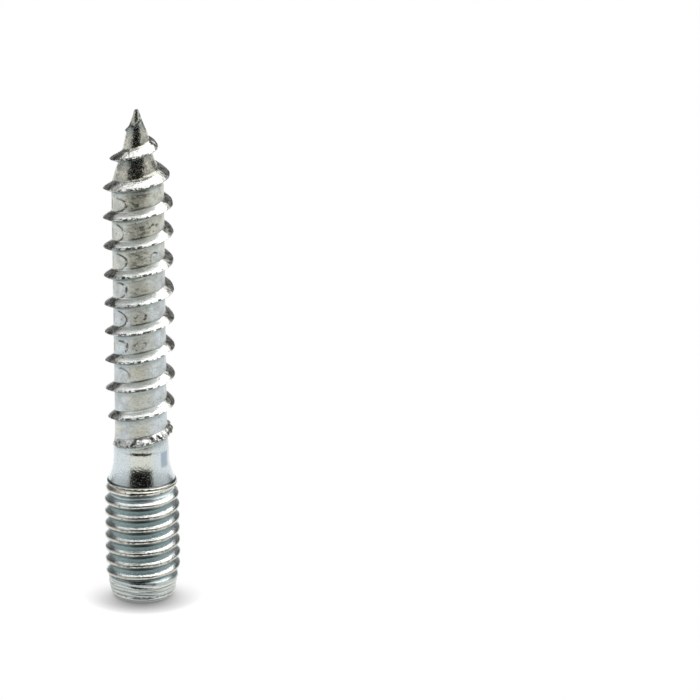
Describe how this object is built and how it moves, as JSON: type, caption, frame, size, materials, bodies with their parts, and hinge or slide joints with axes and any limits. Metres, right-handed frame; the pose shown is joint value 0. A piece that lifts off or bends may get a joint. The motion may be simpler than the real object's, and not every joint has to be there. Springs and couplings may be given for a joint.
{
  "type": "hanger bolt",
  "caption": "Headless steel bolt with a machine thread and tapered end, a flared neck, and a coarse wood thread that ends in a gimlet point.",
  "frame": {"origin": "centre of the machine end's face, in the plane of its flat ring", "axes": "+Z along the bolt from the end face to the point; the bolt is round, so X and Y are free"},
  "size_m": [0.006, 0.006, 0.04],
  "materials": {
    "zinc_plated_steel": "bright zinc plating, as rolled"
  },
  "bodies": {
    "root": {"hanger_bolt": "zinc_plated_steel"}
  },
  "joints": []
}
